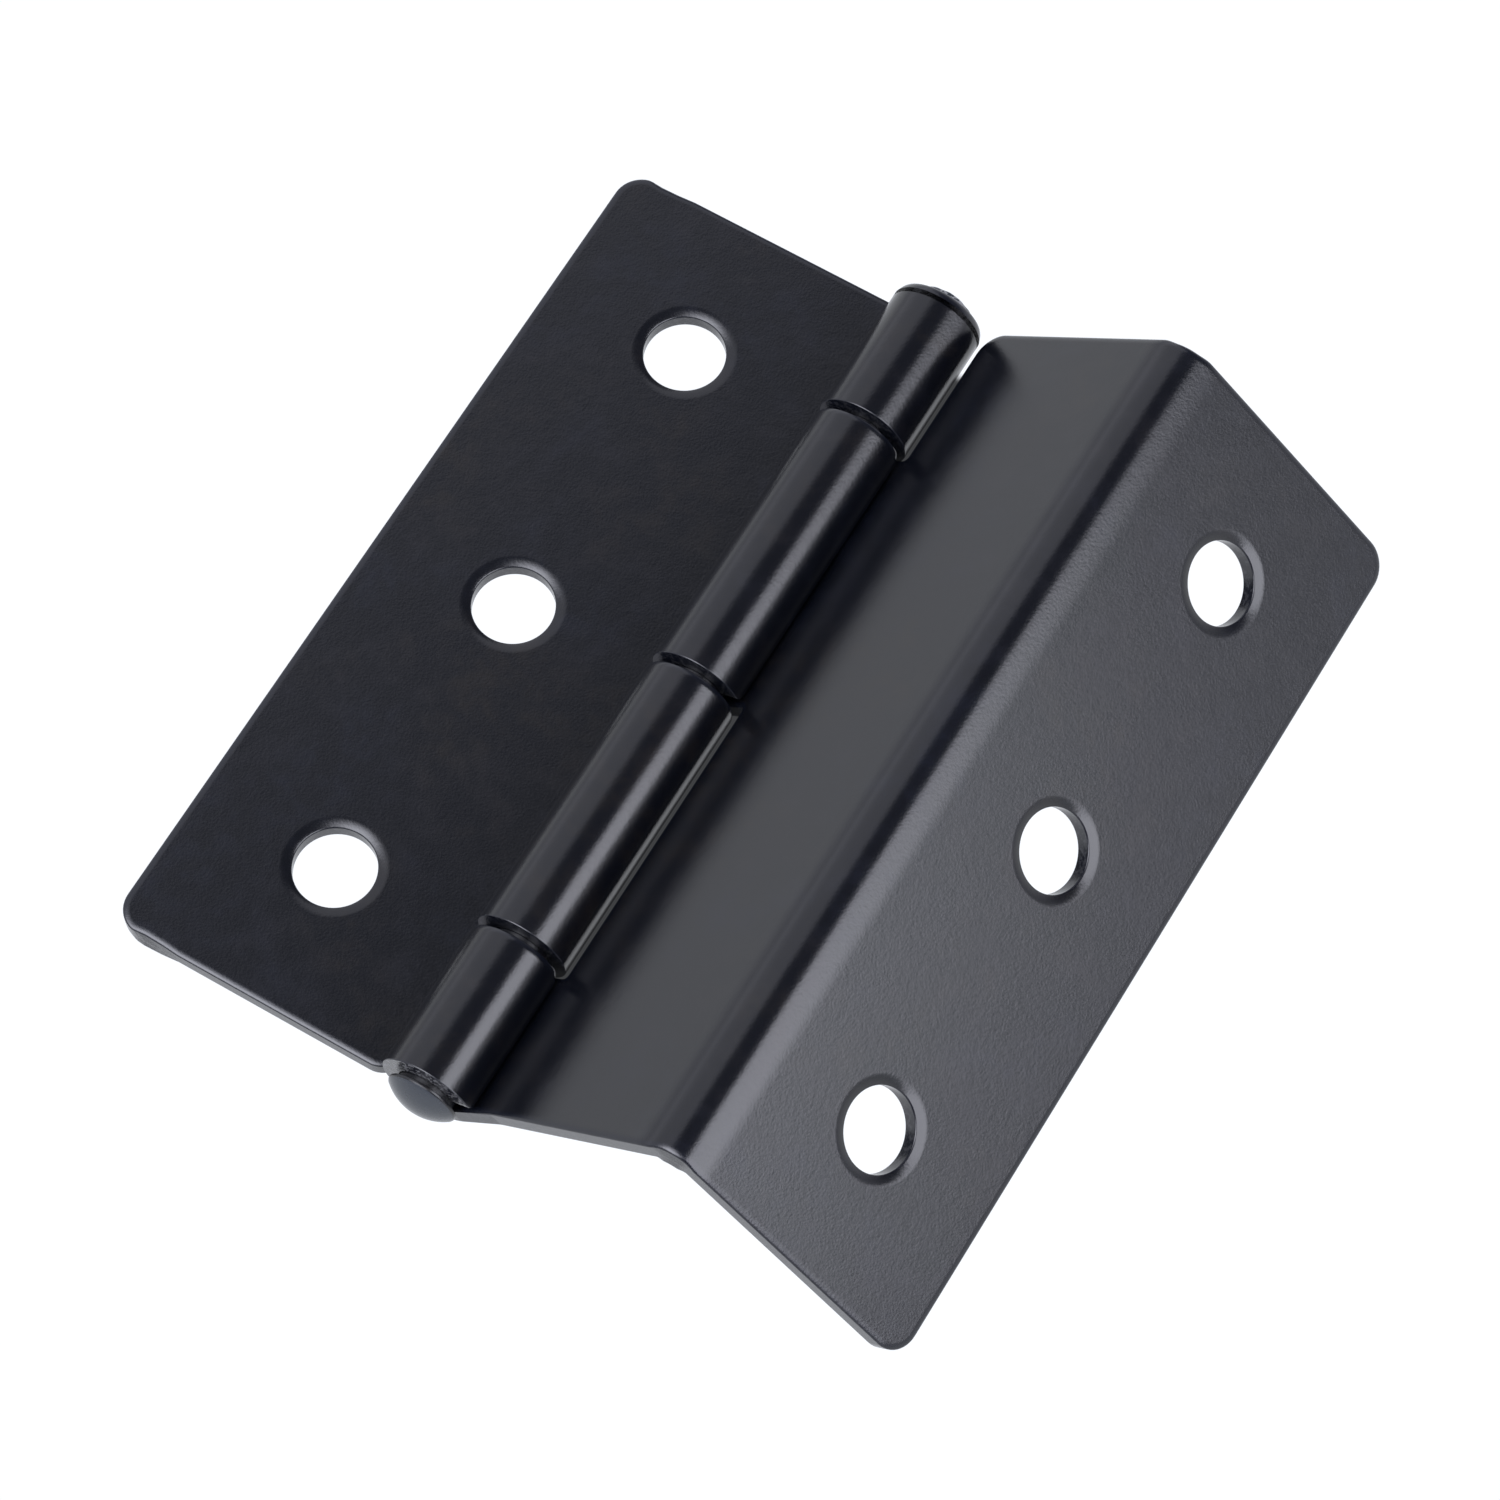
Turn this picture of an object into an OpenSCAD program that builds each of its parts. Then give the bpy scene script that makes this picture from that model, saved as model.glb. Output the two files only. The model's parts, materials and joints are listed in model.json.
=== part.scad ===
// Cranked piano hinge: a short length of continuous hinge with one flat leaf,
// one leaf bent into a ridge, and a single headed pin.
// Units are millimetres. X runs from the flat leaf to the cranked leaf, Y runs
// along the pin from its head to its riveted end, and Z is up. The origin is
// the middle screw hole of the flat leaf, on the face that lies on the work.

/* [Hinge] */
// Length of both leaves along the pin
hinge_len = 76.2; // [50:0.1:150]
// Thickness of the sheet steel
sheet_t = 1.5; // [1:0.1:2]
// Gap between neighbouring knuckles
knuckle_gap = 0.7; // [0.4:0.1:1.5]
// How far the end knuckle at the pin's head stands past its leaf
knuckle_overhang = 0.4; // [0.1:0.1:0.8]

/* [Flat leaf] */
// Pin axis to the free edge of the flat leaf
flat_leaf_w = 28.8; // [24:0.1:45]
// Pin axis to the row of holes in the flat leaf
flat_hole_row = 16.4; // [12:0.1:18]

/* [Cranked leaf] */
// Pin axis to the corner of the crank, measured on the outer face
inner_flange_w = 26.4; // [20:0.1:45]
// Corner of the crank to the free edge, measured on the outer face
outer_flange_w = 26.5; // [22:0.1:45]
// Corner of the crank to the row of holes
cranked_hole_row = 14.3; // [10:0.1:16]
// Angle that the crank turns through
crank_bend = 85; // [60:1:100]
// Inside radius of the crank
crank_inner_r = 1.5; // [1:0.1:3]

/* [Holes and corners] */
// Radius of the six screw holes
hole_r = 3.3; // [2:0.1:4]
// Centre of each end hole to the end of its leaf
hole_margin = 12.25; // [10:0.05:15]
// Radius of the free corners of both leaves
corner_r = 2.4; // [1:0.1:5]
// Radius of the corner beside the other leaf's end knuckle
inner_corner_r = 2; // [0.5:0.1:3]

/* [Pin] */
// Diameter of the pin's shank
pin_d = 4.7; // [3:0.1:6]
// Radial clearance of the pin in the knuckles
pin_clearance = 0.05; // [0.03:0.01:0.1]
// Radius of the domed head
head_r = 2.9; // [2.5:0.1:3.5]
// Height of the head's dome
head_dome = 1.1; // [0.6:0.1:1.5]
// Thickness of the head's rim under the dome
head_rim = 0.25; // [0.1:0.05:0.5]
// Gap between the head and the end knuckle
head_gap = 0.5; // [0.2:0.1:1]
// Radius of the riveted end
rivet_r = 2.6; // [2.5:0.1:3.5]
// Height of the riveted end past its knuckle
rivet_h = 0.8; // [0.4:0.1:1.2]
// Chamfer round the riveted end
rivet_chamfer = 0.3; // [0.1:0.1:0.35]

/* [Hidden] */
$fn = 96;

// Rolled barrel: the sheet turns round the bore with its back face outermost.
bore_r = pin_d / 2 + pin_clearance;
barrel_r = bore_r + sheet_t;
front_z = -bore_r;
back_z = -barrel_r;
// The rolled end stops just short of the front face of its own leaf.
seam_gap = 0.2;
seam_a = 180 + asin((bore_r - seam_gap) / barrel_r);
// Leaf edge beside the other leaf's knuckles, from the pin axis.
notch_clearance = 0.4;
notch_x = sqrt(pow(barrel_r + notch_clearance, 2) - pow(bore_r, 2));

// Two full knuckles between two half knuckles, as [start, end] along the pin.
leaf_end = hinge_len / 2;
pitch = hinge_len / 3;
half_gap = knuckle_gap / 2;
flat_knuckles = [[-pitch + half_gap, -half_gap], [pitch + half_gap, leaf_end]];
cranked_knuckles = [[-leaf_end - knuckle_overhang, -pitch - half_gap],
                    [half_gap, pitch - half_gap]];
hole_y = leaf_end - hole_margin;

// Centre of the crank's bend, behind the sheet.
crank_outer_r = crank_inner_r + sheet_t;
bend_x = inner_flange_w - crank_outer_r * tan(crank_bend / 2);
bend_z = back_z - crank_inner_r;
bend_steps = 24;

// Opening angle at which the back corner of the free edge lies on the same
// plane as the back of the flat leaf.
free_x = inner_flange_w + outer_flange_w * cos(crank_bend) - sheet_t * sin(crank_bend);
free_z = front_z - outer_flange_w * sin(crank_bend) - sheet_t * cos(crank_bend);
rest_a = asin(back_z / norm([free_x, free_z])) - atan2(free_z, free_x);

eps = 0.01;

// A plate from x = 0 to w over the whole length of the leaf.
module plate_outline(w) {
    translate([0, -leaf_end]) square([w, hinge_len]);
}

// The waste outside a rounded corner that points into (dx, dy).
module corner_waste(r, dx, dy) {
    difference() {
        translate([dx * r / 2, dy * r / 2]) square(r + 2 * eps, center = true);
        translate([dx * r, dy * r]) circle(r);
    }
}

// The waste at both corners of a plate's free edge, at x = w.
module free_corners(w) {
    for (side = [-1, 1])
        translate([w, side * leaf_end]) corner_waste(corner_r, -1, -side);
}

// Three screw holes through a plate, in a row along Y.
module hole_row() {
    for (y = [-hole_y, 0, hole_y])
        translate([0, y, -sheet_t / 2]) cylinder(h = 2 * sheet_t, r = hole_r);
}

// Section of one knuckle: a ring that is open between the seam and the leaf.
module knuckle_section() {
    far = 2 * barrel_r;
    difference() {
        circle(barrel_r);
        circle(bore_r);
        polygon([[0, 0], far * [cos(seam_a), sin(seam_a)], [-far, -far], [0, -far]]);
    }
}

// The knuckles of one leaf and the tabs that join them to its plate. The leaf
// lies towards -X and the pin axis is the Y axis.
module knuckles(spans) {
    for (s = spans) {
        translate([0, s[1], 0]) rotate([90, 0, 0])
            linear_extrude(s[1] - s[0]) knuckle_section();
        translate([-notch_x - eps, s[0], back_z])
            cube([notch_x + eps, s[1] - s[0], sheet_t]);
    }
}

// Flat leaf about the pin axis.
module flat_leaf_shape() {
    knuckles(flat_knuckles);
    difference() {
        translate([-notch_x, 0, back_z]) mirror([1, 0, 0])
            linear_extrude(sheet_t) difference() {
                plate_outline(flat_leaf_w - notch_x);
                free_corners(flat_leaf_w - notch_x);
                translate([0, -leaf_end]) corner_waste(inner_corner_r, 1, 1);
            }
        translate([-flat_hole_row, 0, back_z]) hole_row();
    }
}

// Section of the cranked leaf's two flanges: out along the outer face, round
// the crank to the free edge, and back along the inner face.
module crank_section() {
    bend = [bend_x, bend_z];
    turn = [for (i = [0:bend_steps]) 90 - crank_bend * i / bend_steps];
    outer_arc = [for (a = turn) bend + crank_outer_r * [cos(a), sin(a)]];
    inner_arc = [for (a = turn) bend + crank_inner_r * [cos(a), sin(a)]];
    flange_run = outer_flange_w - crank_outer_r * tan(crank_bend / 2);
    run = flange_run * [cos(crank_bend), -sin(crank_bend)];
    polygon(concat(
        [[notch_x, back_z], [notch_x, front_z]],
        outer_arc,
        [outer_arc[bend_steps] + run, inner_arc[bend_steps] + run],
        [for (i = [bend_steps:-1:0]) inner_arc[i]]));
}

// Cranked leaf about the pin axis, with its inner flange level.
module cranked_leaf_shape() {
    mirror([1, 0, 0]) knuckles(cranked_knuckles);
    difference() {
        translate([0, leaf_end, 0]) rotate([90, 0, 0])
            linear_extrude(hinge_len) crank_section();
        translate([notch_x, leaf_end, back_z - sheet_t / 2])
            linear_extrude(2 * sheet_t) corner_waste(inner_corner_r, 1, -1);
        translate([inner_flange_w, 0, front_z]) rotate([0, crank_bend, 0])
            translate([0, 0, -sheet_t]) {
                translate([0, 0, -sheet_t / 2]) linear_extrude(2 * sheet_t)
                    free_corners(outer_flange_w);
                translate([cranked_hole_row, 0, 0]) hole_row();
            }
    }
}

module on_pin_axis() {
    translate([flat_hole_row, 0, barrel_r]) children();
}

module flat_leaf() {
    color("#24262b") on_pin_axis() flat_leaf_shape();
}

module cranked_leaf() {
    color("#45474b") on_pin_axis() rotate([0, -rest_a, 0]) cranked_leaf_shape();
}

// Pin: a lathe profile of [radius, height] from the dome to the riveted end.
module hinge_pin() {
    head_y = -leaf_end - knuckle_overhang - head_gap;
    crown_r = (pow(head_r, 2) + pow(head_dome, 2)) / (2 * head_dome);
    crown_a = asin(head_r / crown_r);
    dome = [for (i = [0:12])
        [crown_r * sin(crown_a * i / 12),
         head_y - head_rim - head_dome + crown_r * (1 - cos(crown_a * i / 12))]];
    color("#34373c") on_pin_axis() rotate([-90, 0, 0]) rotate_extrude() polygon(concat(
        dome,
        [[head_r, head_y], [pin_d / 2, head_y],
         [pin_d / 2, leaf_end], [rivet_r, leaf_end],
         [rivet_r, leaf_end + rivet_h - rivet_chamfer],
         [rivet_r - rivet_chamfer, leaf_end + rivet_h],
         [0, leaf_end + rivet_h]]));
}

flat_leaf();
cranked_leaf();
hinge_pin();
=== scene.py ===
"""Cranked piano hinge in black coated steel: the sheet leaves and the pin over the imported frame.

The leaves are built the way they are made: a flat blank with rolled edges and pierced holes,
mapped round the knuckle curl and the crank. Lengths are millimetres until a mesh is placed.
"""

import json
import math

import bpy
from mathutils import Matrix, Vector
from mathutils.geometry import delaunay_2d_cdt
from mathutils.kdtree import KDTree


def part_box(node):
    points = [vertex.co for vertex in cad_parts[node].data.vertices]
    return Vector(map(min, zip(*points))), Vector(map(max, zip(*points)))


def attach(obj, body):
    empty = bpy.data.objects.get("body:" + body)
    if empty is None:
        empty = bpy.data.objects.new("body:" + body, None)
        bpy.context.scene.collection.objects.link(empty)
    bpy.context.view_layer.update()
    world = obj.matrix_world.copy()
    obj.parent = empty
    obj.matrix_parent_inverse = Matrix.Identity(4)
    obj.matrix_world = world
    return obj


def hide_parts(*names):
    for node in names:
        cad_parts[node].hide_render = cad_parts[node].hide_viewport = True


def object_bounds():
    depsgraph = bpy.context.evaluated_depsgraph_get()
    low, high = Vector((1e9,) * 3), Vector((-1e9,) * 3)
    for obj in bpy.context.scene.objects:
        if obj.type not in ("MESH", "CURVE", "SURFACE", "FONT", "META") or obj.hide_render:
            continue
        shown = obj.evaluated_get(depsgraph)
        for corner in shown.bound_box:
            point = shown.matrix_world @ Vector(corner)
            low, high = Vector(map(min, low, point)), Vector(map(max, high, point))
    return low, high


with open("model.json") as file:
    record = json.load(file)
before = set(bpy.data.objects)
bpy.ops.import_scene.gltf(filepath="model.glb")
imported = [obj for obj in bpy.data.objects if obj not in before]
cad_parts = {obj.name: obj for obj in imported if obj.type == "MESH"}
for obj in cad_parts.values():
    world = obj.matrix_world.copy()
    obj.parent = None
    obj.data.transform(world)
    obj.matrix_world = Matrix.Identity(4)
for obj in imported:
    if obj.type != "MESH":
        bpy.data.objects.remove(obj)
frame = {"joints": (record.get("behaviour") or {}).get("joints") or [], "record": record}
CAD_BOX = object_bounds()

MM = 0.001

# ---- Sizes from the frame ----------------------------------------------------------------

RECORD = frame["record"]
MOUNTS = {mount["name"]: mount for mount in RECORD["mounts"]}
PIN_AXIS = Vector(frame["joints"][0]["pos_m"]) / MM
FLAT_LO, FLAT_HI = [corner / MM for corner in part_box("flat_leaf")]
CRANKED_LO, _ = [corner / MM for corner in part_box("cranked_leaf")]
PIN_LO, PIN_HI = [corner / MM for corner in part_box("hinge_pin")]

LEAF_END = FLAT_HI.y
OVERHANG = -LEAF_END - CRANKED_LO.y
BARREL_R = PIN_AXIS.z - FLAT_LO.z
FLAT_LEAF_W = PIN_AXIS.x - FLAT_LO.x
FLAT_HOLE_ROW = PIN_AXIS.x - MOUNTS["flat_hole_middle"]["pos_m"][0] / MM
HOLE_Y = [MOUNTS[f"flat_hole_{end}"]["pos_m"][1] / MM for end in ("head_end", "middle", "rivet_end")]
HOLE_R = MOUNTS["flat_hole_middle"]["dims"]["r_mm"]
SHEET_T = MOUNTS["flat_hole_middle"]["dims"]["length_mm"]

# ---- Sizes of the blank and its bends ----------------------------------------------------

KNUCKLE_GAP = 0.7
INNER_FLANGE_W = 26.4
OUTER_FLANGE_W = 26.5
CRANKED_HOLE_ROW = 14.3
CRANK_BEND = math.radians(85)
CRANK_INNER_R = 1.5
CORNER_R = 2.4
INNER_CORNER_R = 2.0
CURL_CORNER_R = 0.9
NOTCH_ROOT_R = 0.4
SEAM_GAP = 0.2
NOTCH_CLEARANCE = 0.4

HALF_T = SHEET_T / 2
BORE_R = BARREL_R - SHEET_T
CURL_MID_R = BARREL_R - HALF_T
CURL_ANGLE = 1.5 * math.pi + math.asin((BORE_R - SEAM_GAP) / BARREL_R)
CURL_LEN = CURL_ANGLE * CURL_MID_R
NOTCH_S = math.sqrt((BARREL_R + NOTCH_CLEARANCE) ** 2 - BORE_R ** 2)
PITCH = 2 * LEAF_END / 3

CRANK_MID_R = CRANK_INNER_R + HALF_T
SETBACK = (CRANK_INNER_R + SHEET_T) * math.tan(CRANK_BEND / 2)
BEND_START = INNER_FLANGE_W - SETBACK
BEND_END = BEND_START + CRANK_BEND * CRANK_MID_R
# The shading eases into and out of the bend over this far on each side of its ends.
BEND_EASE = 1.65
CRANKED_LEN = BEND_END + OUTER_FLANGE_W - SETBACK
CRANKED_HOLE_S = BEND_END + CRANKED_HOLE_ROW - SETBACK
OUTER_FLANGE_NORMAL = MOUNTS["cranked_hole_middle"]["axis"]
REST_ANGLE = math.atan2(OUTER_FLANGE_NORMAL[2], OUTER_FLANGE_NORMAL[0]) - (math.pi / 2 - CRANK_BEND)

# Width along the sheet and depth of the roll that blanking leaves on the front edges.
EDGE_ROLL = (0.6, 0.2)
# The same round the holes, where a shallow dish follows: its width and depth come last.
HOLE_ROLL = (0.2, 0.16, 0.85, 0.17)
# The small break on the side where the die came out, and the rounder ends of the knuckles.
BREAK = (0.12, 0.07)
KNUCKLE_FAR_ROLL = (0.55, 0.22)
BARREL_END_ROLL = (1.1, 0.42)
# A point of the outline faces an end of the hinge when its outward direction is past this along Y.
FACES_END = 0.5
END_REACH = 1.0
CURL_FADE = 1.5
# The cut wall steps in a little between these heights, where the sheet broke instead of being cut.
FRACTURE_DEPTH = 0.02
FRACTURE_START = -0.05
FRACTURE_END = -0.25
# Bending swells the ends of the crank: by how much, over what half width, how far from the end.
END_SWELL = 0.2
SWELL_HALF = 1.9
SWELL_REACH = 2.2
# The tab of the knuckle beside the head flares out between these places along the blank.
FLARE_START = 0.5
FLARE_END = 5.0
FLARE_R = 4.0
# Wear is 1 on a cut edge and more where the barrel rubs on the pin's head.
HEAD_END_WEAR = 1.35
WEAR_AND_SHEEN_ATTRIBUTE = "cut_edge_and_dome_sheen"
# The coat is lighter from this much of the attribute, which the dome of the pin has all over as a
# painted sheen.
EDGE_TINT_AND_DOME_SHEEN = 0.4

# ---- Pin ---------------------------------------------------------------------------------

PIN_R = 2.35
HEAD_R = 2.9
HEAD_RIM = 0.25
HEAD_GAP = 0.5
RIM_ROUND = 0.07
SHANK_CHAMFER = 0.1
PIN_FIT = 0.05
RIVET_R = 2.6
RIVET_ROUND = 0.3
RIVET_LIP = 0.08
LIP_STEP = 0.02
# Depth and radius at the steps of the hollow that the riveting tool leaves.
RIVET_HOLLOW = [(0.03, 1.7), (0.1, 1.45), (0.16, 1.2), (0.18, 0.0)]
# Hammer marks: their depth, where they start and are full along the pin and out from its axis.
MARK_DEPTH = 0.012
MARK_ALONG = (0.1, 0.4)
MARK_OUT = (0.4, 1.2)
MARK_OFFSET = 2.2
# Waves round the riveted end: size, number of waves, phase, twist along the pin.
MARK_WAVES = [(1.0, 3, 0.7, 0), (0.7, 7, 2.1, 0), (0.5, 13, 0, 4)]
RIVET_WEAR = 1.5

# ---- Steps between points ----------------------------------------------------------------

FLAT_STEP = 1.5
CURVED_STEP = 0.3
ROW_STEP = 1.6
ARC_STEP = 0.32
ARC_TURN = math.radians(18)
ROLL_STEPS = 5
CROWN_STEPS = 14
HOLE_SIDES = 72
PIN_SIDES = 120
TIP_R = 0.02
RIM_MARGIN = 0.1
# Points along the blank merge when they are closer than this share of a step.
MERGE_SHARE = 0.4
# A grid point keeps this share of a flat step away from the rims.
CLEAR_SHARE = 0.5
MERGE_DISTANCE = 1e-6
FILL_INSIDE = 1

# ---- Finish ------------------------------------------------------------------------------

COAT_DARK = (0.0020, 0.0024, 0.0040)
COAT_BLUE = (0.0034, 0.0042, 0.0075)
COAT_BROWN = (0.0054, 0.0048, 0.0050)
# Painted sheen: the lighter blue-grey given to the black dome of the pin, where it reflects the
# studio.
DOME_PAINTED_SHEEN = (0.021, 0.025, 0.031)
WORN_GREY = (0.22, 0.22, 0.23)
LEAF_GLOSS = 0.185
LEAF_WORN = 0.5
PIN_GLOSS = 0.27
PIN_WORN = 0.7
COAT_IOR = 1.52
WORN_ROUGHNESS = 0.35
# Features per metre of the noises.
CLOUD_SCALE = 70
PATCH_SCALE = 420
PEEL_SCALE = 1700
GRAIN_SCALE = 5200
SCUFF_SCALE = 2600
# Strength, and height in metres.
PEEL_BUMP = (0.16, 0.00004)
GRAIN_BUMP = (0.5, 0.00002)

# ---- Studio ------------------------------------------------------------------------------

FLOOR_HALF = 600
FLOOR_CLEARANCE = 0.02
# The glow is a painted pool of light: this bright near the object, falling to the far glow between the
# fade distances, in metres.
FLOOR_GLOW = 1.05
FLOOR_FAR_GLOW = 0.95
FLOOR_FADE = (0.09, 0.5)
FLOOR_TINT = (0.96, 0.985, 1.04, 1.0)
# The floor's glow is cut to a painted shadow in the closed pocket under the knuckles: its half width
# and half length, how far its edges fade, and what is left of the glow in it.
SHADOW_POCKET = (6.5, 36.5)
SHADOW_POCKET_FADE = 1.5
SHADOW_POCKET_GLOW = 0.05
WALL_LIGHT = 0.95
CEILING_LIGHT = 0.12
WALL_FADE = (-0.05, 0.5)
STUDIO_TINT = (0.94, 0.955, 1.06, 1.0)
# Azimuth from +X towards +Y, elevation, half width and half height as slopes, softness, strength.
SOFTBOXES = [
    (-1.5, 38, 0.48, 0.445, 0.07, 5.45),
    (160, 38.5, 0.9, 0.52, 0.1, 0.87),
    (-120, 56, 0.42, 0.38, 0.34, 8.5),
]
# A softbox fades out towards the directions at right angles to its centre.
SIDE_FADE = (0.02, 0.1)
AIM_OFFSET = (1.87, -3.63, 0.0)
VIEW_AZIMUTH = 32.08
VIEW_ELEVATION = 65.39
VIEW_ROLL = -1.41
VIEW_DISTANCE = 424.65
LENS = 135.15
SENSOR = 36
CLIP_START = 0.02


# ---- Sheet metal -------------------------------------------------------------------------

def smooth(low, high, value):
    """0 below low, 1 above high, with an even curve between."""
    t = min(1.0, max(0.0, (value - low) / (high - low)))
    return t * t * (3 - 2 * t)


def curl_section(s):
    """Mid-surface point and front direction (x, z, nx, nz) round the knuckle, for s below 0."""
    polar = -math.pi / 2 + s / CURL_MID_R
    c, n = math.cos(polar), math.sin(polar)
    return CURL_MID_R * c, CURL_MID_R * n, -c, -n


def flat_section(s):
    """The same for a sheet that runs straight out from under the pin."""
    return curl_section(s) if s < 0 else (s, -CURL_MID_R, 0.0, 1.0)


def eased(s):
    """s where it is well above 0 and 0 where it is well below, with an even curve between."""
    if abs(s) >= BEND_EASE:
        return max(0.0, s)
    return (s + BEND_EASE) ** 2 / (4 * BEND_EASE)


def cranked_section(s):
    """The same for a sheet that also turns down round the crank."""
    if s < BEND_START - BEND_EASE:
        return flat_section(s)
    before, past = s - BEND_START, s - BEND_END
    polar = math.pi / 2 - min(max(0.0, before), BEND_END - BEND_START) / CRANK_MID_R
    c, n = math.cos(polar), math.sin(polar)
    x = BEND_START + min(0.0, before) + CRANK_MID_R * c + max(0.0, past) * n
    z = -BARREL_R - CRANK_INNER_R + CRANK_MID_R * n - max(0.0, past) * c
    facing = math.pi / 2 - (eased(before) - eased(past)) / CRANK_MID_R
    return x, z, math.cos(facing), math.sin(facing)


class Blank:
    """One flat sheet, whose points are mapped through the section that it is bent to.

    zones lists (start, end, step) along the blank, with short steps where the sheet is curved.
    """

    def __init__(self, section, zones, placement):
        self.section = section
        self.zones = zones
        self.placement = placement
        self.points = []
        self.normals = []
        self.wear = []
        self.faces = []

    def stations(self, start, end):
        """Positions along the blank from start to end."""
        found = [start]
        for low, high, step in self.zones:
            count = max(1, round((high - low) / step))
            for i in range(count + 1):
                s = low + (high - low) * i / count
                if found[-1] + MERGE_SHARE * step < s < end - MERGE_SHARE * step:
                    found.append(s)
        return found + [end]

    def stretched(self, s):
        """Blank position with the curved stretches drawn out, for even triangles."""
        return sum((min(max(s, low), high) - low) * FLAT_STEP / step for low, high, step in self.zones)

    def straight(self, a, b):
        """Points from a to b along one side of the blank, without a and b."""
        if abs(b[1] - a[1]) > abs(b[0] - a[0]):
            count = max(1, round(abs(b[1] - a[1]) / ROW_STEP))
            shares = [i / count for i in range(count)]
        else:
            stops = self.stations(min(a[0], b[0]), max(a[0], b[0]))
            shares = sorted((s - a[0]) / (b[0] - a[0]) for s in stops)[:-1]
        return [(a[0] + (b[0] - a[0]) * t, a[1] + (b[1] - a[1]) * t) for t in shares[1:]]

    def outline(self, corners):
        """Points (s, y, es, ey) round (s, y, radius) corners, with the metal on the left.

        es and ey point straight out of the metal.
        """
        arcs = []
        for i, (s, y, radius) in enumerate(corners):
            before, after = Vector(corners[i - 1][:2]), Vector(corners[(i + 1) % len(corners)][:2])
            arcs.append(corner_arc(before, Vector((s, y)), after, radius))
        loop = []
        for i, arc in enumerate(arcs):
            a, b = arc[-1], arcs[(i + 1) % len(arcs)][0]
            loop += arc + [(s, y, a[2], a[3]) for s, y in self.straight(a, b)]
        return loop

    def add(self, s, y, d, normal, wear):
        """Adds a point at (s, y) and height d, and returns its number."""
        x, z, nx, nz = self.section(s)
        ns, ny, nd = normal
        point = Vector((x + d * nx, y + end_swell(s, y, d), z + d * nz))
        direction = Vector((ns * nz + nd * nx, ny, nd * nz - ns * nx))
        self.points.append(self.placement @ point)
        self.normals.append((self.placement.to_3x3() @ direction).normalized())
        self.wear.append(wear)
        return len(self.points) - 1

    def edge(self, loop, rolls, band):
        """Rounds one closed edge and returns the point numbers of its front and back rims."""
        columns = []
        for s, y, es, ey in loop:
            front, back = rolls(s, y, ey)
            column = []
            for inset, height, out, up, share in edge_profile(front, back, band):
                normal = (es * out, ey * out, up)
                wear = share * wear_amount(s, y, ey)
                column.append(self.add(s - es * inset, y - ey * inset, height, normal, wear))
            columns.append(column)
        for i, here in enumerate(columns):
            after = columns[(i + 1) % len(columns)]
            for k in range(len(here) - 1):
                self.faces.append((here[k], here[k + 1], after[k + 1], after[k]))
        return [column[0] for column in columns], [column[-1] for column in columns]

    def build(self, name):
        """The finished object."""
        if self.placement.determinant() < 0:
            self.faces = [face[::-1] for face in self.faces]
        return mesh_object(name, self.points, self.faces, self.normals, self.wear)


def mesh_object(name, points, faces, normals, wear):
    """An object with smooth shading from its own normals, placed in metres."""
    data = bpy.data.meshes.new(name)
    data.from_pydata([point * MM for point in points], [], faces)
    data.polygons.foreach_set("use_smooth", [True] * len(faces))
    attribute = data.attributes.new(WEAR_AND_SHEEN_ATTRIBUTE, "FLOAT", "POINT")
    attribute.data.foreach_set("value", wear)
    data.normals_split_custom_set_from_vertices(normals)
    obj = bpy.data.objects.new(name, data)
    bpy.context.scene.collection.objects.link(obj)
    return obj


def corner_arc(before, corner, after, radius):
    """Points (s, y, es, ey) round one corner of an outline."""
    into, out = (corner - before).normalized(), (after - corner).normalized()
    turn = math.atan2(into.x * out.y - into.y * out.x, into.dot(out))
    side = math.copysign(radius, turn)
    first = Vector((into.y, -into.x))
    centre = corner - into * radius * math.tan(abs(turn) / 2) - first * side
    count = max(round(abs(turn) * radius / ARC_STEP), math.ceil(abs(turn) / ARC_TURN))
    arc = []
    for k in range(count + 1):
        e = Matrix.Rotation(turn * k / count, 2) @ first
        arc.append((*(centre + e * side), *e))
    return arc


def hole_loop(s, y):
    """The edge of a screw hole, as points (s, y, es, ey)."""
    loop = []
    for i in range(HOLE_SIDES):
        a = -2 * math.pi * i / HOLE_SIDES
        c, n = math.cos(a), math.sin(a)
        loop.append((s + HOLE_R * c, y + HOLE_R * n, -c, -n))
    return loop


def blend(a, b, share):
    """Values that go from those of a to those of b."""
    return [low + (high - low) * share for low, high in zip(a, b)]


def outline_rolls(s, y, ey):
    """(width, depth) of the rounding on the front and on the back of an outline point."""
    if s > 0:
        return EDGE_ROLL, BREAK
    back = BREAK
    if ey > FACES_END:
        back = BARREL_END_ROLL if y > LEAF_END - END_REACH else KNUCKLE_FAR_ROLL
    curl = smooth(0.0, CURL_FADE, -s)
    return blend(EDGE_ROLL, BREAK, curl), blend(BREAK, back, curl)


def hole_rolls(s, y, ey):
    """The same for a point on the edge of a hole, all the way round."""
    return HOLE_ROLL, BREAK


def wear_amount(s, y, ey):
    """How worn the coating is on a cut edge: most on the end of the knuckle beside the pin's head."""
    at_head = s < 0 and ey < -FACES_END and y < -LEAF_END
    return HEAD_END_WEAR if at_head else 1.0


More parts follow.
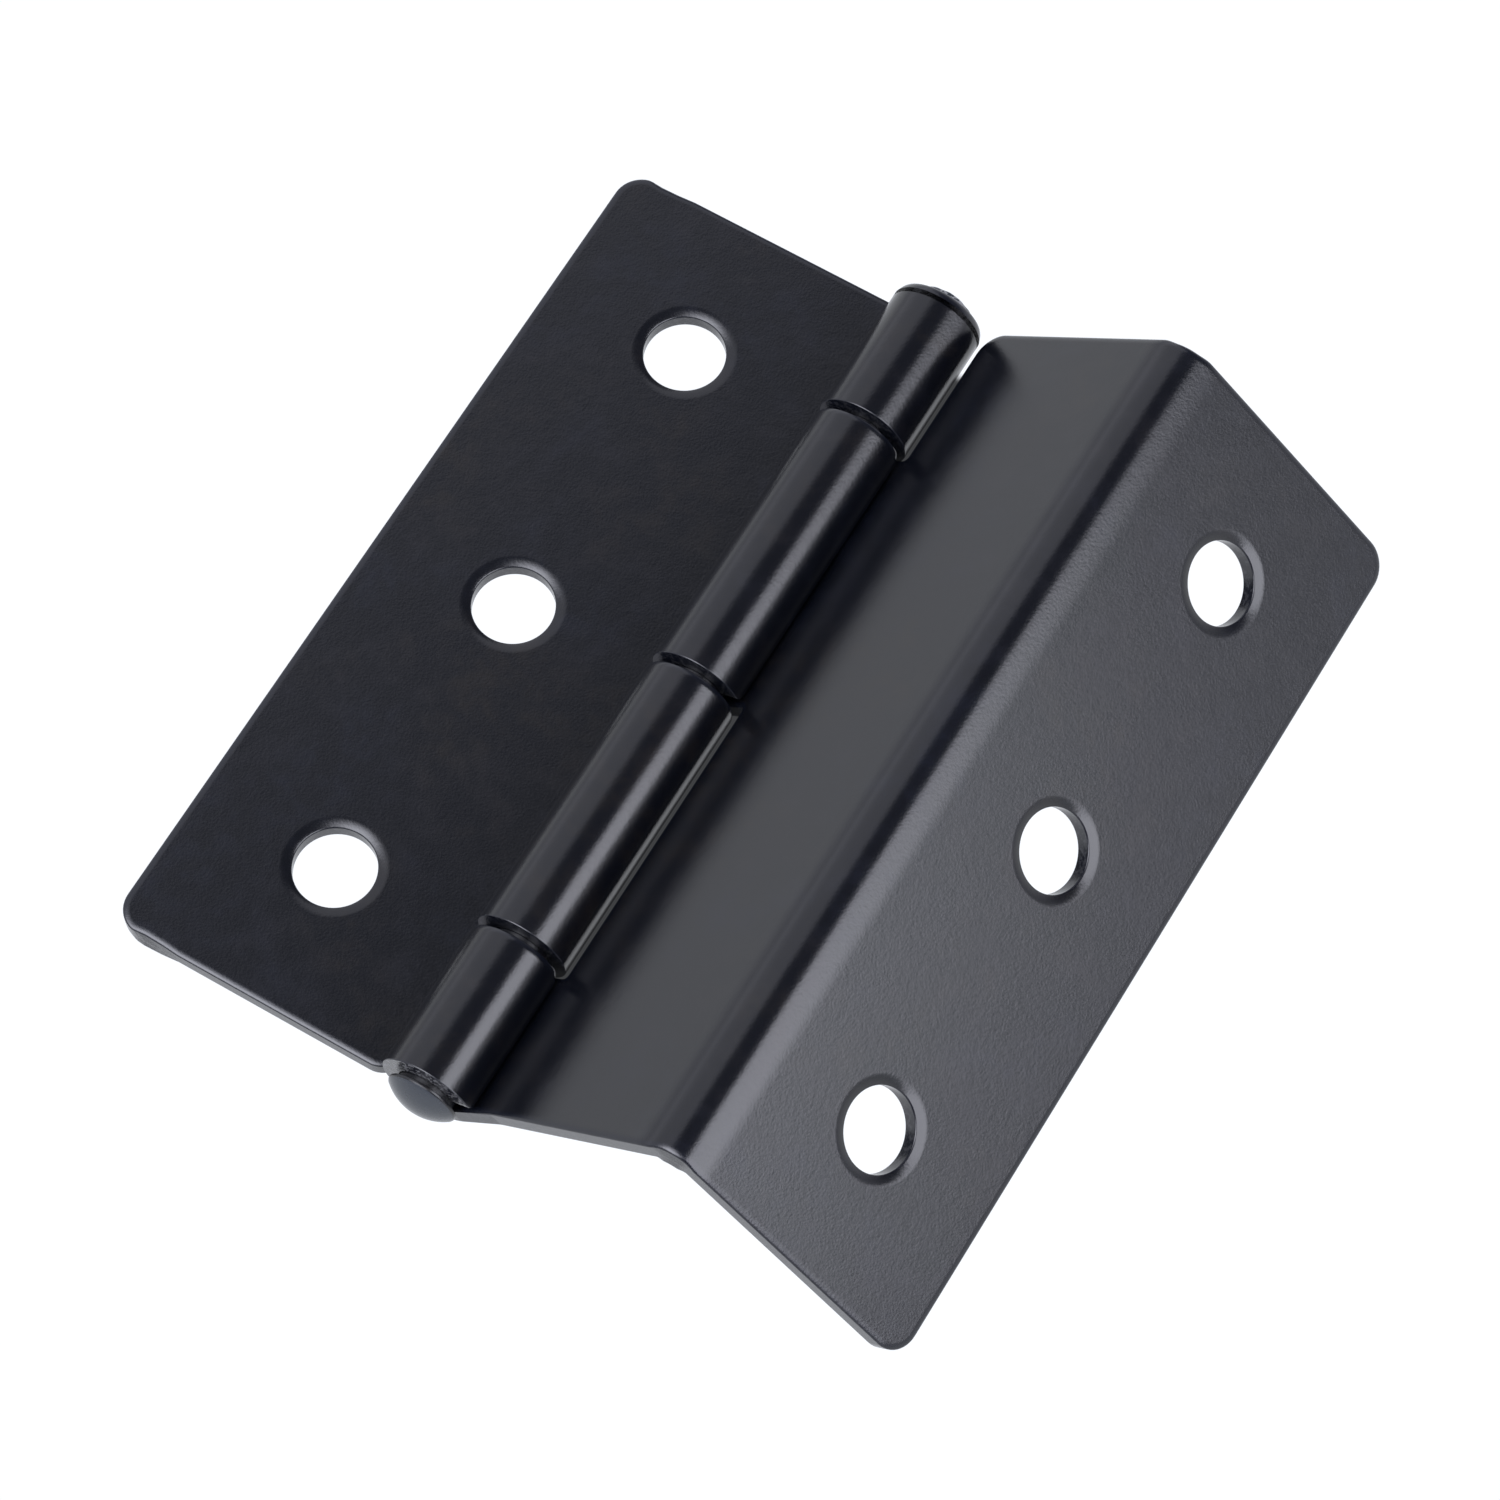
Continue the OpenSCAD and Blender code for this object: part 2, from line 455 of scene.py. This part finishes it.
def quarter_roll(width, depth, dish_width=1.0, dish_depth=0.0):
    """Rounding from a face to a cut wall, as steps of (inset, drop, out, up, share).

    With a dish, the face first curves down to the slope at which the rounding takes over.
    """
    slope = 2 * dish_depth / dish_width
    start = math.atan(slope * width / depth)
    steps = []
    if dish_depth > 0:
        for i in range(ROLL_STEPS):
            share = i / ROLL_STEPS
            inset = width * (1 - math.sin(start)) + dish_width * (1 - share)
            size = math.hypot(slope * share, 1)
            steps.append((inset, dish_depth * share ** 2, slope * share / size, 1 / size, 0.0))
    for i in range(ROLL_STEPS + 1):
        a = start + (math.pi / 2 - start) * i / ROLL_STEPS
        out, up = math.sin(a) / width, math.cos(a) / depth
        size = math.hypot(out, up)
        drop = dish_depth + depth * (math.cos(start) - math.cos(a))
        steps.append((width * (1 - math.sin(a)), drop, out / size, up / size, i / ROLL_STEPS))
    return steps


def edge_profile(front, back, band):
    """Profile over an edge from the front face to the back face.

    Each step is (inset from the edge, height above mid-surface, share of the normal that points
    out of the metal, share that points up, how much it is part of the cut wall).
    """
    steps = [(band, HALF_T, 0.0, 1.0, 0.0)]
    for inset, drop, out, up, share in quarter_roll(*front):
        steps.append((inset, HALF_T - drop, out, up, share))
    steps.append((0.0, FRACTURE_START, 1.0, 0.0, 1.0))
    steps.append((FRACTURE_DEPTH, FRACTURE_END, 1.0, 0.0, 1.0))
    for inset, drop, out, up, share in reversed(quarter_roll(*back)):
        steps.append((FRACTURE_DEPTH + inset, drop - HALF_T, out, -up, share))
    steps.append((band, -HALF_T, 0.0, -1.0, 0.0))
    return steps


def end_swell(s, y, d):
    """How far bending pushes the sheet out along the pin: out inside the crank, in on its outside."""
    along = 1 - smooth(SWELL_HALF / 3, SWELL_HALF, abs(s - (BEND_START + BEND_END) / 2))
    near_end = smooth(LEAF_END - SWELL_REACH, LEAF_END, abs(y))
    return -math.copysign(END_SWELL, y) * along * near_end * d / HALF_T


def rim_points(loops, bands):
    """The rims of all the edges on the blank: their points, and the pairs that are joined."""
    points = []
    pairs = []
    for loop, band in zip(loops, bands):
        first = len(points)
        points += [(s - es * band, y - ey * band) for s, y, es, ey in loop]
        pairs += [(first + i, first + (i + 1) % len(loop)) for i in range(len(loop))]
    return points, pairs


def inner_points(blank, rim):
    """A grid of points over the blank that keeps clear of the rims."""
    tree = KDTree(len(rim))
    for i, (s, y) in enumerate(rim):
        tree.insert((blank.stretched(s), y, 0), i)
    tree.balance()
    reach = LEAF_END + OVERHANG
    rows = round(2 * reach / ROW_STEP)
    grid = []
    for s in blank.stations(blank.zones[0][0], blank.zones[-1][1])[1:-1]:
        for i in range(1, rows):
            y = reach * (2 * i / rows - 1)
            if tree.find((blank.stretched(s), y, 0))[2] > CLEAR_SHARE * FLAT_STEP:
                grid.append((s, y))
    return grid


def fill_faces(blank, loops, bands, rims, holes):
    """Fills the front and back faces between the rims of all the edges."""
    rim, pairs = rim_points(loops, bands)
    flat = rim + inner_points(blank, rim)
    rim_fronts = [number for front, _ in rims for number in front]
    rim_backs = [number for _, back in rims for number in back]
    hole_reach = HOLE_R + bands[-1]

    def clear_of_holes(corners):
        s = sum(flat[c][0] for c in corners) / 3
        y = sum(flat[c][1] for c in corners) / 3
        return all(math.hypot(s - hs, y - hy) > hole_reach for hs, hy in holes)

    plane = [Vector((blank.stretched(s), y)) for s, y in flat]
    _, _, triangles, origins, _, _ = delaunay_2d_cdt(plane, pairs, [], FILL_INSIDE, MERGE_DISTANCE)
    fronts = {}
    backs = {}
    for triangle in triangles:
        corners = [origins[corner][0] for corner in triangle]
        if not clear_of_holes(corners):
            continue
        for c in corners:
            if c in fronts:
                continue
            if c < len(rim):
                fronts[c], backs[c] = rim_fronts[c], rim_backs[c]
            else:
                fronts[c] = blank.add(*flat[c], HALF_T, (0, 0, 1), 0.0)
                backs[c] = blank.add(*flat[c], -HALF_T, (0, 0, -1), 0.0)
        blank.faces.append(tuple(fronts[c] for c in corners))
        blank.faces.append(tuple(backs[c] for c in reversed(corners)))


def build_leaf(name, section, zones, placement, corners, hole_s):
    """A leaf from its outline corners and the place of its row of holes."""
    blank = Blank(section, [(-CURL_LEN, 0.0, CURVED_STEP)] + zones, placement)
    holes = [(hole_s, y) for y in HOLE_Y]
    loops = [blank.outline(corners)] + [hole_loop(s, y) for s, y in holes]
    bands = [EDGE_ROLL[0] + RIM_MARGIN] + [HOLE_ROLL[0] + HOLE_ROLL[2] + RIM_MARGIN] * len(holes)
    rims = [blank.edge(loops[0], outline_rolls, bands[0])]
    rims += [blank.edge(loop, hole_rolls, bands[-1]) for loop in loops[1:]]
    fill_faces(blank, loops, bands, rims, holes)
    return blank.build(name)


def knuckle_tab(near, far):
    """Corners of a tab that is rolled into a knuckle, entered from the notch on its far side."""
    return [
        (NOTCH_S, far, NOTCH_ROOT_R),
        (-CURL_LEN, far, CURL_CORNER_R),
        (-CURL_LEN, near, CURL_CORNER_R),
        (NOTCH_S, near, NOTCH_ROOT_R),
    ]


def free_corners(length):
    return [(length, -LEAF_END, CORNER_R), (length, LEAF_END, CORNER_R)]


def build_flat_leaf():
    """The leaf that lies on the work: a half knuckle at the riveted end and a full one."""
    corners = free_corners(FLAT_LEAF_W)
    corners += knuckle_tab(PITCH + KNUCKLE_GAP / 2, LEAF_END)[1:]
    corners += knuckle_tab(-PITCH + KNUCKLE_GAP / 2, -KNUCKLE_GAP / 2)
    corners += [(NOTCH_S, -LEAF_END, INNER_CORNER_R)]
    zones = [(0.0, FLAT_LEAF_W, FLAT_STEP)]
    placement = Matrix.Translation(PIN_AXIS) @ Matrix.Diagonal((-1, 1, 1, 1))
    return build_leaf("flat_leaf_sheet", flat_section, zones, placement, corners, FLAT_HOLE_ROW)


def build_cranked_leaf():
    """The raised leaf: a full knuckle, and a half knuckle that flares past the head end."""
    corners = free_corners(CRANKED_LEN)
    corners += [(NOTCH_S, LEAF_END, INNER_CORNER_R)]
    corners += knuckle_tab(KNUCKLE_GAP / 2, PITCH - KNUCKLE_GAP / 2)
    corners += knuckle_tab(-LEAF_END - OVERHANG, -PITCH - KNUCKLE_GAP / 2)[:3]
    corners += [(FLARE_START, -LEAF_END - OVERHANG, FLARE_R), (FLARE_END, -LEAF_END, FLARE_R)]
    bend = (BEND_START - BEND_EASE, BEND_END + BEND_EASE)
    zones = [(0.0, bend[0], FLAT_STEP), (*bend, CURVED_STEP / 2), (bend[1], CRANKED_LEN, FLAT_STEP)]
    placement = Matrix.Translation(PIN_AXIS) @ Matrix.Rotation(-REST_ANGLE, 4, "Y")
    return build_leaf("cranked_leaf_sheet", cranked_section, zones, placement, corners, CRANKED_HOLE_S)


# ---- Pin ---------------------------------------------------------------------------------

def arc(centre_y, centre_r, radius, start, end, count):
    """Points (y, r) of an arc in the pin's profile; angles are from the outward radius to +Y."""
    angles = [math.radians(start + (end - start) * i / count) for i in range(count + 1)]
    return [(centre_y + radius * math.sin(a), centre_r + radius * math.cos(a)) for a in angles]


def pin_profile():
    """Half section of the pin from the tip of its dome to the riveted end, as (y, radius)."""
    head_back = CRANKED_LO.y - HEAD_GAP
    rim_front = head_back - HEAD_RIM
    dome = rim_front - PIN_LO.y
    crown_r = (HEAD_R ** 2 + dome ** 2) / (2 * dome)
    crown = math.degrees(math.asin((HEAD_R - RIM_ROUND) / crown_r))
    points = arc(PIN_LO.y + crown_r, 0, crown_r, -90, -90 + crown, CROWN_STEPS)
    points += arc(rim_front + RIM_ROUND, HEAD_R - RIM_ROUND, RIM_ROUND, -60, 0, 4)
    points += arc(head_back - RIM_ROUND, HEAD_R - RIM_ROUND, RIM_ROUND, 0, 90, 4)
    points += [(head_back, PIN_R + SHANK_CHAMFER), (head_back + SHANK_CHAMFER, PIN_R)]
    points += [(LEAF_END - SHANK_CHAMFER, PIN_R), (LEAF_END + LIP_STEP, PIN_R + PIN_FIT)]
    lip = LEAF_END + 2 * LIP_STEP
    points += [(lip, RIVET_R - RIVET_LIP)]
    points += arc(lip + RIVET_LIP, RIVET_R - RIVET_LIP, RIVET_LIP, -60, 0, 3)
    points += arc(PIN_HI.y - RIVET_ROUND, RIVET_R - RIVET_ROUND, RIVET_ROUND, 0, 80, 6)
    points += [(PIN_HI.y - depth, r) for depth, r in RIVET_HOLLOW]
    return points


def ring_normals(points, faces):
    """Normals averaged over the faces round each point, by area, so that flats stay flat."""
    normals = [Vector() for _ in points]
    for face in faces:
        a, b, c, d = [points[i] for i in face]
        area = (c - a).cross(d - b)
        for i in face:
            normals[i] += area
    return [normal.normalized() if normal.length > 0 else normal for normal in normals]


def hammer_mark(a, y):
    """How far the metal is beaten in at an angle round the pin, as a share of the mark depth."""
    return MARK_OFFSET + sum(size * math.sin(waves * a + phase + twist * y)
                             for size, waves, phase, twist in MARK_WAVES)


def build_pin():
    """The pin turned about its axis, with hammer marks round the riveted end."""
    profile = pin_profile()
    points = []
    wear = []
    faces = []
    for y, r in profile:
        hammered = smooth(*MARK_ALONG, y - LEAF_END) * smooth(*MARK_OUT, r)
        on_dome = y < CRANKED_LO.y - HEAD_GAP - HEAD_RIM
        for k in range(PIN_SIDES):
            a = 2 * math.pi * k / PIN_SIDES
            mark = MARK_DEPTH * hammered * hammer_mark(a, y)
            radius = max(r, TIP_R) * (1 - mark)
            along = y - mark
            points.append(PIN_AXIS + Vector((radius * math.cos(a), along, radius * math.sin(a))))
            # On the dome the attribute carries a painted sheen; on the riveted end it is wear.
            wear.append(EDGE_TINT_AND_DOME_SHEEN if on_dome else RIVET_WEAR * hammered)
    for i in range(len(profile) - 1):
        for k in range(PIN_SIDES):
            after = (k + 1) % PIN_SIDES
            here, there = i * PIN_SIDES, (i + 1) * PIN_SIDES
            faces.append((here + k, there + k, there + after, here + after))
    normals = ring_normals(points, faces)
    count = len(points)
    faces.append(tuple(range(PIN_SIDES)))
    faces.append(tuple(range(count - 1, count - 1 - PIN_SIDES, -1)))
    return mesh_object("hinge_pin_turned", points, faces, normals, wear)


# ---- Materials ---------------------------------------------------------------------------

def node(tree, kind, inputs=None, **settings):
    """A shader node with its settings and its input values or links."""
    made = tree.nodes.new(kind)
    for key, value in settings.items():
        setattr(made, key, value)
    for key, value in (inputs or {}).items():
        if isinstance(value, bpy.types.NodeSocket):
            tree.links.new(value, made.inputs[key])
        else:
            made.inputs[key].default_value = value
    return made


def noise(tree, place, scale, detail=3.0, roughness=0.5):
    """Noise with scale in features per metre."""
    inputs = {"Vector": place, "Scale": scale, "Detail": detail, "Roughness": roughness}
    return node(tree, "ShaderNodeTexNoise", inputs).outputs["Fac"]


def ramp(tree, value, low, high, to_low=0.0, to_high=1.0):
    """Maps value from low..high to to_low..to_high, smoothly and clamped."""
    inputs = {"Value": value, "From Min": low, "From Max": high, "To Min": to_low, "To Max": to_high}
    return node(tree, "ShaderNodeMapRange", inputs, interpolation_type="SMOOTHSTEP").outputs["Result"]


def maths(tree, operation, a, b=0.0):
    """One sum on numbers; b is left out where the operation takes one number."""
    return node(tree, "ShaderNodeMath", {0: a, 1: b}, operation=operation).outputs[0]


def colour_mix(tree, share, a, b):
    """A colour between a and b, through the colour sockets of a Mix node."""
    made = node(tree, "ShaderNodeMix", {"Factor": share}, data_type="RGBA")
    for socket, value in ((made.inputs[6], a), (made.inputs[7], b)):
        if isinstance(value, bpy.types.NodeSocket):
            tree.links.new(value, socket)
        else:
            socket.default_value = (*value, 1.0)
    return made.outputs[2]


def bump(tree, height, strength, distance, normal=None):
    """A bumped normal, on top of another one if it is given."""
    inputs = {"Height": height, "Strength": strength, "Distance": distance}
    if normal:
        inputs["Normal"] = normal
    return node(tree, "ShaderNodeBump", inputs).outputs["Normal"]


def coated_steel(name, gloss, worn, lifted):
    """Black coating on steel: faint orange peel, soft mottling, and grey wear on the cut edges.

    lifted is the colour of the coat where the attribute for wear and sheen is not 0; on the pin's dome
    it is a painted sheen.
    """
    material = bpy.data.materials.new(name)
    material.use_nodes = True
    tree = material.node_tree
    tree.nodes.clear()
    place = node(tree, "ShaderNodeTexCoord").outputs["Object"]
    cloudy = noise(tree, place, CLOUD_SCALE)
    patchy = noise(tree, place, PATCH_SCALE, 5.0, 0.65)
    peel = noise(tree, place, PEEL_SCALE, 3.0, 0.6)
    grain = noise(tree, place, GRAIN_SCALE, 3.0, 0.65)
    scuff = noise(tree, place, SCUFF_SCALE, 3.0, 0.6)
    tint = colour_mix(tree, ramp(tree, cloudy, 0.35, 0.65), COAT_BLUE, COAT_BROWN)
    coat = colour_mix(tree, ramp(tree, patchy, 0.4, 0.75), COAT_DARK, tint)
    edge = node(tree, "ShaderNodeAttribute", attribute_name=WEAR_AND_SHEEN_ATTRIBUTE).outputs["Fac"]
    # Cut edges, and the whole dome of the pin as a painted sheen, take the lifted colour.
    coat = colour_mix(tree, ramp(tree, edge, 0.0, EDGE_TINT_AND_DOME_SHEEN), coat, lifted)
    speckle = ramp(tree, scuff, 0.5, 0.57)
    scuffed = maths(tree, "MULTIPLY", speckle, ramp(tree, edge, 0.9, 1.5, 0.08, 1.0))
    bare = maths(tree, "MULTIPLY", scuffed, ramp(tree, edge, 0.5, 1.0, 0.0, worn))
    colour = colour_mix(tree, bare, coat, WORN_GREY)
    uneven = ramp(tree, patchy, 0.3, 0.7, gloss - 0.01, gloss + 0.012)
    rough = maths(tree, "ADD", uneven, maths(tree, "MULTIPLY", bare, WORN_ROUGHNESS))
    shader = node(tree, "ShaderNodeBsdfPrincipled", {
        "Base Color": colour,
        "Roughness": rough,
        "Normal": bump(tree, peel, *PEEL_BUMP, bump(tree, grain, *GRAIN_BUMP)),
    })
    shader.inputs["IOR"].default_value = COAT_IOR
    output = node(tree, "ShaderNodeOutputMaterial")
    tree.links.new(shader.outputs[0], output.inputs["Surface"])
    return material


def pale_floor():
    """A pale glowing floor, with a painted pool of light round the object and a painted shadow in the
    pocket under the knuckles.
    """
    material = bpy.data.materials.new("pale_floor")
    material.use_nodes = True
    tree = material.node_tree
    tree.nodes.clear()
    place = node(tree, "ShaderNodeTexCoord").outputs["Object"]
    distance = node(tree, "ShaderNodeVectorMath", {0: place}, operation="LENGTH").outputs["Value"]
    parts = node(tree, "ShaderNodeSeparateXYZ", {0: place})
    # Painted pool of light: the floor glows brighter near the object than further out.
    glow = ramp(tree, distance, *FLOOR_FADE, FLOOR_GLOW, FLOOR_FAR_GLOW)
    shadow_share = 1.0
    # Painted shadow: the glow drops to almost nothing in the pocket under the knuckles.
    for axis, half in zip("XY", SHADOW_POCKET):
        offset = maths(tree, "ABSOLUTE", parts.outputs[axis])
        inside = ramp(tree, offset, half * MM, (half - SHADOW_POCKET_FADE) * MM)
        shadow_share = maths(tree, "MULTIPLY", shadow_share, inside)
    glow = maths(tree, "MULTIPLY", glow, ramp(tree, shadow_share, 0.0, 1.0, 1.0, SHADOW_POCKET_GLOW))
    shader = node(tree, "ShaderNodeEmission", {"Color": FLOOR_TINT, "Strength": glow})
    output = node(tree, "ShaderNodeOutputMaterial")
    tree.links.new(shader.outputs[0], output.inputs["Surface"])
    return material


# ---- Studio ------------------------------------------------------------------------------

def softbox(tree, direction, azimuth, elevation, half_width, half_height, soft, strength):
    """Brightness of a large soft light that is seen in a direction of the sky."""
    a, e = math.radians(azimuth), math.radians(elevation)
    centre = Vector((math.cos(a) * math.cos(e), math.sin(a) * math.cos(e), math.sin(e)))
    along = Vector((-math.sin(a), math.cos(a), 0))
    upward = centre.cross(along)

    def dot(axis):
        product = node(tree, "ShaderNodeVectorMath", {0: direction, 1: axis}, operation="DOT_PRODUCT")
        return product.outputs["Value"]

    depth = dot(centre)
    shares = ramp(tree, depth, *SIDE_FADE)
    depth = maths(tree, "MAXIMUM", depth, SIDE_FADE[0])
    for axis, half in ((along, half_width), (upward, half_height)):
        offset = maths(tree, "ABSOLUTE", maths(tree, "DIVIDE", dot(axis), depth))
        shares = maths(tree, "MULTIPLY", shares, ramp(tree, offset, half + soft, half - soft))
    return maths(tree, "MULTIPLY", shares, strength)


def studio_light():
    """Large softboxes to the right, to the left and in front, between pale walls."""
    world = bpy.data.worlds.new("studio")
    bpy.context.scene.world = world
    world.use_nodes = True
    tree = world.node_tree
    tree.nodes.clear()
    direction = node(tree, "ShaderNodeTexCoord").outputs["Generated"]
    height = node(tree, "ShaderNodeSeparateXYZ", {0: direction}).outputs["Z"]
    light = ramp(tree, height, *WALL_FADE, WALL_LIGHT, CEILING_LIGHT)
    for box in SOFTBOXES:
        light = maths(tree, "ADD", light, softbox(tree, direction, *box))
    background = node(tree, "ShaderNodeBackground", {"Color": STUDIO_TINT, "Strength": light})
    output = node(tree, "ShaderNodeOutputWorld")
    tree.links.new(background.outputs[0], output.inputs["Surface"])


def build_floor():
    """A plain floor that the object stands on."""
    data = bpy.data.meshes.new("floor")
    half = FLOOR_HALF * MM
    corners = [(-half, -half, 0), (half, -half, 0), (half, half, 0), (-half, half, 0)]
    data.from_pydata(corners, [], [(0, 1, 2, 3)])
    data.materials.append(pale_floor())
    floor = bpy.data.objects.new("floor", data)
    floor.location = (PIN_AXIS.x * MM, 0, (FLAT_LO.z - FLOOR_CLEARANCE) * MM)
    bpy.context.scene.collection.objects.link(floor)


def build_camera():
    """A long lens above the head end and to the right."""
    lo, hi = [Vector(corner) for corner in CAD_BOX]
    aim = (lo + hi) / 2 + Vector(AIM_OFFSET) * MM
    a, e = math.radians(VIEW_AZIMUTH), math.radians(VIEW_ELEVATION)
    back = Vector((math.sin(a) * math.cos(e), -math.cos(a) * math.cos(e), math.sin(e)))
    level = Vector((math.cos(a), math.sin(a), 0))
    right = Matrix.Rotation(math.radians(VIEW_ROLL), 3, back) @ level
    camera = bpy.data.objects.new("camera", bpy.data.cameras.new("camera"))
    camera.data.sensor_width = SENSOR
    camera.data.lens = LENS
    camera.data.clip_start = CLIP_START
    turned = Matrix((right, back.cross(right), back)).transposed().to_4x4()
    camera.matrix_world = Matrix.Translation(aim + back * VIEW_DISTANCE * MM) @ turned
    bpy.context.scene.collection.objects.link(camera)
    bpy.context.scene.camera = camera


def put_on(obj, material, body, node_name):
    """Gives a piece its finish and ties it to the frame."""
    obj.data.materials.append(material)
    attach(obj, body)
    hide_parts(node_name)


leaf_coat = coated_steel("black_coated_steel", LEAF_GLOSS, LEAF_WORN, COAT_BLUE)
pin_coat = coated_steel("black_pin", PIN_GLOSS, PIN_WORN, DOME_PAINTED_SHEEN)
put_on(build_flat_leaf(), leaf_coat, "flat_side", "flat_leaf")
put_on(build_cranked_leaf(), leaf_coat, "cranked_side", "cranked_leaf")
put_on(build_pin(), pin_coat, "flat_side", "hinge_pin")

build_floor()
studio_light()
build_camera()
bpy.context.scene.view_settings.view_transform = "Standard"
